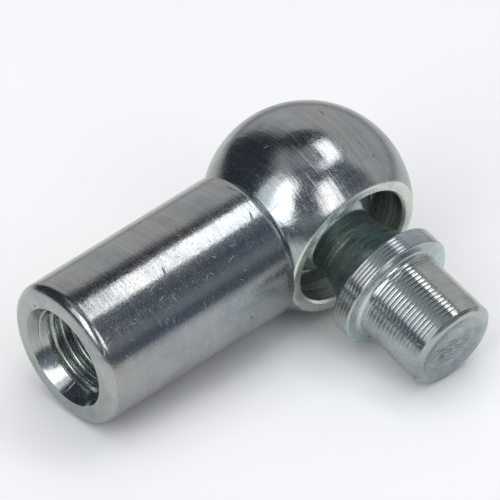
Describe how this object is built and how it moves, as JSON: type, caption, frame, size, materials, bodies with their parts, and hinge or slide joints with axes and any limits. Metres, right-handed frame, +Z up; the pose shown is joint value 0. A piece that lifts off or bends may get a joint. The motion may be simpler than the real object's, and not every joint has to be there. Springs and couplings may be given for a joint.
{
  "type": "angle ball joint",
  "caption": "Angle ball joint: turned socket with a threaded shank, and a riveting ball stud held at a right angle to it by a snap ring.",
  "frame": {"origin": "on the floor, at the middle of the part's width and depth, with the joint lying on its head, its shank's open end and the end of its rivet pin", "axes": "+Z up; the shank runs from the head towards -X and dips 5.3 degrees to the floor; the stud points towards -Y and dips 15.5 degrees"},
  "size_m": [0.0606, 0.0468, 0.03],
  "materials": {
    "housing_steel": "bright zinc plating over turned steel, satin gloss",
    "ring_steel": "bare spring wire, satin",
    "stud_steel": "zinc plating over coarse turning marks, satin gloss"
  },
  "bodies": {
    "housing": {"socket_housing": "housing_steel"},
    "ring": {"snap_ring": "ring_steel"},
    "stud": {"ball_stud": "stud_steel"}
  },
  "joints": [
    {"name": "stud_turn", "type": "hinge", "parent": "housing", "child": "ring", "pos_m": [0.0154, 0.00544, 0.01437], "axis": [0.0194, -0.978, -0.2079], "continuous": true},
    {"name": "stud_tilt", "type": "hinge", "parent": "ring", "child": "stud", "pos_m": [0.01533, 0.00915, 0.01516], "axis": [-0.9957, 0, -0.0931], "range_deg": [-12.5, 19.5]}
  ]
}
